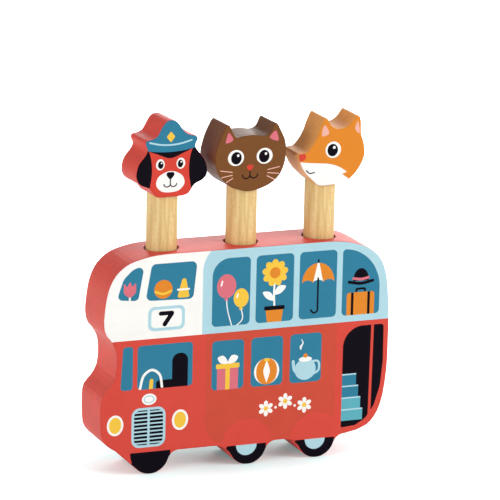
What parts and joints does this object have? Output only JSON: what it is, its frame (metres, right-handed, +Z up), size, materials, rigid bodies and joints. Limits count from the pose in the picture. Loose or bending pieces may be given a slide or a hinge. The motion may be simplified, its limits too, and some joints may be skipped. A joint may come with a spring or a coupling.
{
  "type": "pop-up bus toy",
  "caption": "Double-decker bus of painted wood whose animal-headed pegs stand on springs in its roof and pop back up when pressed.",
  "frame": {"origin": "on the floor under the middle of the bus's length and thickness", "axes": "+Z up, +X towards the tail, so the nose is at -X, and the printed side faces -Y"},
  "size_m": [0.1998, 0.037, 0.231],
  "materials": {
    "bus_paint": "smooth paint on wood, satin",
    "dog_paint": "smooth paint on wood, satin",
    "cat_paint": "smooth paint on wood, satin",
    "fox_paint": "smooth paint on wood, satin",
    "dowel_wood": "bare sanded wood, lightly varnished",
    "spring_steel": "bright drawn spring wire"
  },
  "bodies": {
    "bus": {"bus_body": "bus_paint"},
    "dog_coil": {"dog_spring": "spring_steel"},
    "dog_peg": {"dog_dowel": "dowel_wood"},
    "dog_top": {"dog_head": "dog_paint"},
    "cat_coil": {"cat_spring": "spring_steel"},
    "cat_peg": {"cat_dowel": "dowel_wood"},
    "cat_top": {"cat_head": "cat_paint"},
    "fox_coil": {"fox_spring": "spring_steel"},
    "fox_peg": {"fox_dowel": "dowel_wood"},
    "fox_top": {"fox_head": "fox_paint"}
  },
  "joints": [
    {"name": "dog_press", "type": "slide", "parent": "bus", "child": "dog_coil", "axis": [0, 0, 1], "range_m": [-0.0355, 0], "stiffness_N_per_m": 120, "springref_m": 0.006, "deforming": ["dog_spring"]},
    {"name": "dog_lift", "type": "slide", "parent": "dog_coil", "child": "dog_peg", "axis": [0, 0, 1], "range_m": [0, 0.058]},
    {"name": "dog_turn", "type": "hinge", "parent": "dog_peg", "child": "dog_top", "pos_m": [-0.0534, 0, 0.1814], "axis": [0, 0, 1], "continuous": true},
    {"name": "cat_press", "type": "slide", "parent": "bus", "child": "cat_coil", "axis": [0, 0, 1], "range_m": [-0.0355, 0], "stiffness_N_per_m": 120, "springref_m": 0.006, "deforming": ["cat_spring"]},
    {"name": "cat_lift", "type": "slide", "parent": "cat_coil", "child": "cat_peg", "axis": [0, 0, 1], "range_m": [0, 0.058]},
    {"name": "cat_turn", "type": "hinge", "parent": "cat_peg", "child": "cat_top", "pos_m": [0.0012, 0, 0.1814], "axis": [0, 0, 1], "continuous": true},
    {"name": "fox_press", "type": "slide", "parent": "bus", "child": "fox_coil", "axis": [0, 0, 1], "range_m": [-0.0355, 0], "stiffness_N_per_m": 120, "springref_m": 0.006, "deforming": ["fox_spring"]},
    {"name": "fox_lift", "type": "slide", "parent": "fox_coil", "child": "fox_peg", "axis": [0, 0, 1], "range_m": [0, 0.058]},
    {"name": "fox_turn", "type": "hinge", "parent": "fox_peg", "child": "fox_top", "pos_m": [0.0558, 0, 0.1814], "axis": [0, 0, 1], "continuous": true}
  ]
}
